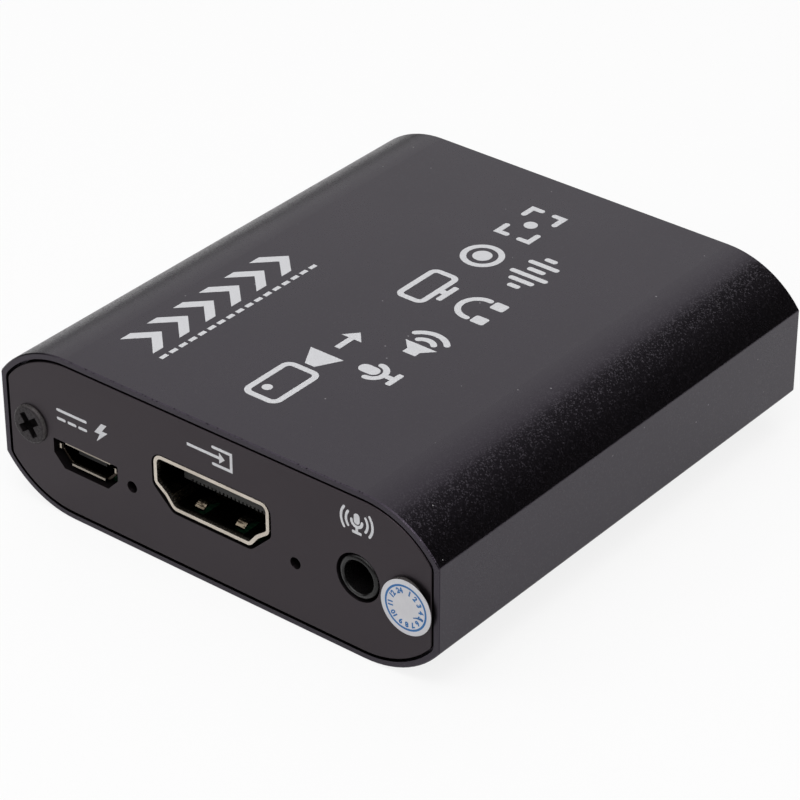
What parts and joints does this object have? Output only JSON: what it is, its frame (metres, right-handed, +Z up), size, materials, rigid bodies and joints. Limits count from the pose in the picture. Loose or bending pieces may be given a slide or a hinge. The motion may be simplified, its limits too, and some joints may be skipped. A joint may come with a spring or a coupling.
{
  "type": "video capture box",
  "caption": "Small black box with a rounded extruded metal sleeve and screwed end panels, which takes in video, sound and power by sockets and passes them on by cable.",
  "frame": {"origin": "middle of the underside, on the surface that the box stands on", "axes": "+X to the right as seen from the front, -Y out of the front panel, +Y out of the rear panel, +Z up"},
  "size_m": [0.056, 0.0609, 0.0189],
  "materials": {
    "anodised_case": "bead-blasted, black anodised, fine sparkle",
    "panel_black": "matt black",
    "black_screw": "blackened steel, satin",
    "sticker_paper": "smooth coated paper",
    "board_mask": "satin solder mask",
    "nickel_shell": "nickel plated sheet",
    "black_insulator": "moulded, matt",
    "white_insulator": "moulded, matt",
    "gilt_contact": "gold plated spring strip",
    "jack_plastic": "moulded, semi-gloss",
    "lamp_lens": "clear lens on a white body",
    "chip_resin": "moulded resin",
    "tinned_lead": "tinned",
    "crystal_can": "drawn can",
    "coil_ferrite": "pressed ferrite",
    "can_aluminium": "drawn can",
    "capacitor_ceramic": "fired ceramic",
    "resistor_ceramic": "glazed film on ceramic"
  },
  "bodies": {
    "case": {"case_sleeve": "anodised_case", "front_panel": "panel_black", "rear_panel": "panel_black", "front_panel_screws": "black_screw", "rear_panel_screws": "black_screw", "date_sticker": "sticker_paper", "main_board": "board_mask", "video_in_shell": "nickel_shell", "video_out_shell": "nickel_shell", "power_shell": "nickel_shell", "data_shell": "nickel_shell", "video_in_tongue": "black_insulator", "video_out_tongue": "black_insulator", "power_tongue": "black_insulator", "data_tongue": "white_insulator", "video_in_contacts": "gilt_contact", "video_out_contacts": "gilt_contact", "power_contacts": "gilt_contact", "data_tails": "gilt_contact", "mic_jack_tails": "gilt_contact", "line_jack_tails": "gilt_contact", "mic_jack_body": "jack_plastic", "line_jack_body": "jack_plastic", "status_lamps": "lamp_lens", "capture_chip": "chip_resin", "splitter_chip": "chip_resin", "memory_chip": "chip_resin", "regulator": "chip_resin", "capture_chip_leads": "tinned_lead", "long_crystal": "crystal_can", "small_crystal": "crystal_can", "coil": "coil_ferrite", "can_capacitor": "can_aluminium", "ceramic_capacitors": "capacitor_ceramic", "resistors": "resistor_ceramic"},
    "mic_tip": {"mic_tip_spring": "gilt_contact"},
    "mic_ring": {"mic_ring_spring": "gilt_contact"},
    "line_tip": {"line_tip_spring": "gilt_contact"},
    "line_ring": {"line_ring_spring": "gilt_contact"},
    "data_contact": {"data_blades": "gilt_contact"}
  },
  "joints": [
    {"name": "mic_tip_flex", "type": "hinge", "parent": "case", "child": "mic_tip", "pos_m": [0.01585, -0.023, 0.0091], "axis": [0, 0, 1], "range_deg": [0, 6], "stiffness_Nm_per_rad": 0.054},
    {"name": "mic_ring_flex", "type": "hinge", "parent": "case", "child": "mic_ring", "pos_m": [0.02075, -0.0176, 0.0091], "axis": [0, 0, 1], "range_deg": [0, 6], "stiffness_Nm_per_rad": 0.054},
    {"name": "line_tip_flex", "type": "hinge", "parent": "case", "child": "line_tip", "pos_m": [-0.01635, 0.023, 0.0091], "axis": [0, 0, 1], "range_deg": [0, 6], "stiffness_Nm_per_rad": 0.054},
    {"name": "line_ring_flex", "type": "hinge", "parent": "case", "child": "line_ring", "pos_m": [-0.02125, 0.0176, 0.0091], "axis": [0, 0, 1], "range_deg": [0, 6], "stiffness_Nm_per_rad": 0.054},
    {"name": "data_blade_flex", "type": "hinge", "parent": "case", "child": "data_contact", "pos_m": [0.0136, 0.021, 0.0104], "axis": [1, 0, 0], "range_deg": [0, 4.5], "stiffness_Nm_per_rad": 0.27}
  ]
}
